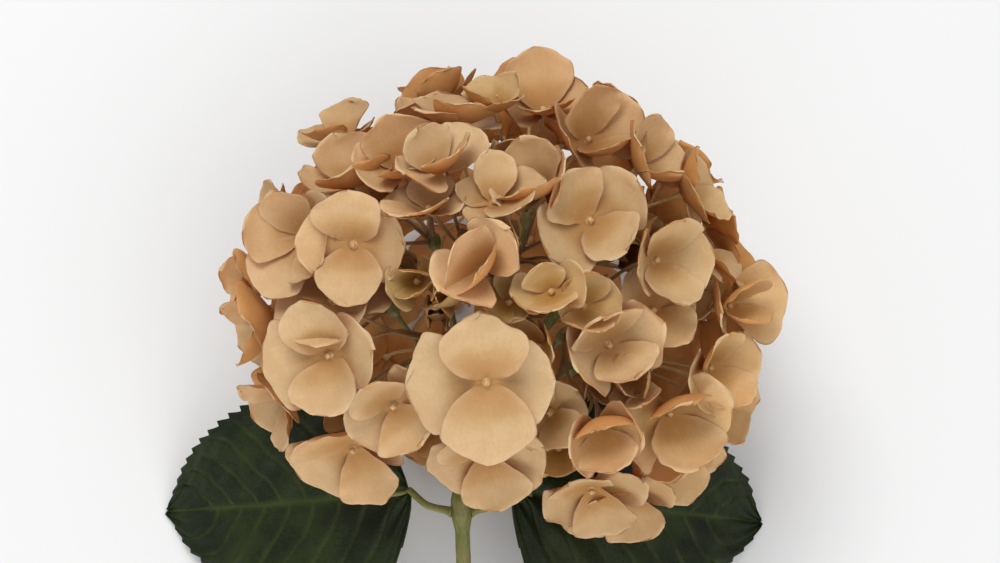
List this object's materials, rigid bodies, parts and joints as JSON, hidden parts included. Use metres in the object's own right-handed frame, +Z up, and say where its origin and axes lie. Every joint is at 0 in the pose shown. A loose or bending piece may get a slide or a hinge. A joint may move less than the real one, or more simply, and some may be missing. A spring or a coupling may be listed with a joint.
{
  "type": "cut hydrangea",
  "caption": "Cut mophead hydrangea lying on its side: round head of four-sepalled florets on branching stalks, a pair of toothed leaves and a bare stem.",
  "frame": {"origin": "centre of the bottom of the bounding box, on the surface the flower lies on", "axes": "+Z up; +Y from the stem's cut end towards the flower head; +X to the right seen from above with the head at the top"},
  "size_m": [0.2484, 0.372, 0.1764],
  "materials": {
    "sepal_peach": "matte, thin and slightly see-through",
    "sepal_cream": "matte, thin and slightly see-through",
    "sepal_tan": "matte, thin and slightly see-through",
    "sepal_sand": "matte, thin and slightly see-through",
    "sepal_straw": "matte, thin and slightly see-through",
    "leaf": "satin, veined",
    "stem": "smooth green, matte"
  },
  "bodies": {
    "root": {"floret_13": "sepal_tan", "floret_29": "sepal_sand", "floret_56": "sepal_peach", "floret_pair_01": "sepal_peach", "floret_pair_02": "sepal_cream", "floret_pair_03": "sepal_tan", "floret_pair_04": "sepal_sand", "floret_pair_05": "sepal_straw", "floret_pair_06": "sepal_peach", "floret_pair_07": "sepal_cream", "floret_pair_08": "sepal_tan", "floret_pair_09": "sepal_sand", "floret_pair_10": "sepal_straw", "floret_pair_11": "sepal_peach", "floret_pair_12": "sepal_cream", "floret_pair_14": "sepal_sand", "floret_pair_15": "sepal_straw", "floret_pair_16": "sepal_peach", "floret_pair_17": "sepal_cream", "floret_pair_18": "sepal_tan", "floret_pair_19": "sepal_sand", "floret_pair_20": "sepal_straw", "floret_pair_21": "sepal_peach", "floret_pair_22": "sepal_cream", "floret_pair_23": "sepal_tan", "floret_pair_24": "sepal_sand", "floret_pair_25": "sepal_straw", "floret_pair_26": "sepal_peach", "floret_pair_27": "sepal_cream", "floret_pair_28": "sepal_tan", "floret_pair_30": "sepal_straw", "floret_pair_31": "sepal_peach", "floret_pair_32": "sepal_cream", "floret_pair_33": "sepal_tan", "floret_pair_34": "sepal_sand", "floret_pair_35": "sepal_straw", "floret_pair_36": "sepal_peach", "floret_pair_37": "sepal_cream", "floret_pair_38": "sepal_tan", "floret_pair_39": "sepal_sand", "floret_pair_40": "sepal_straw", "floret_pair_41": "sepal_peach", "floret_pair_42": "sepal_cream", "floret_pair_43": "sepal_tan", "floret_pair_44": "sepal_sand", "floret_pair_45": "sepal_straw", "floret_pair_46": "sepal_peach", "floret_pair_47": "sepal_cream", "floret_pair_48": "sepal_tan", "floret_pair_49": "sepal_sand", "floret_pair_50": "sepal_straw", "floret_pair_51": "sepal_peach", "floret_pair_52": "sepal_cream", "floret_pair_53": "sepal_tan", "floret_pair_54": "sepal_sand", "floret_pair_55": "sepal_straw", "floret_pair_57": "sepal_cream", "leaf_left": "leaf", "leaf_right": "leaf", "stem": "stem"}
  },
  "joints": []
}
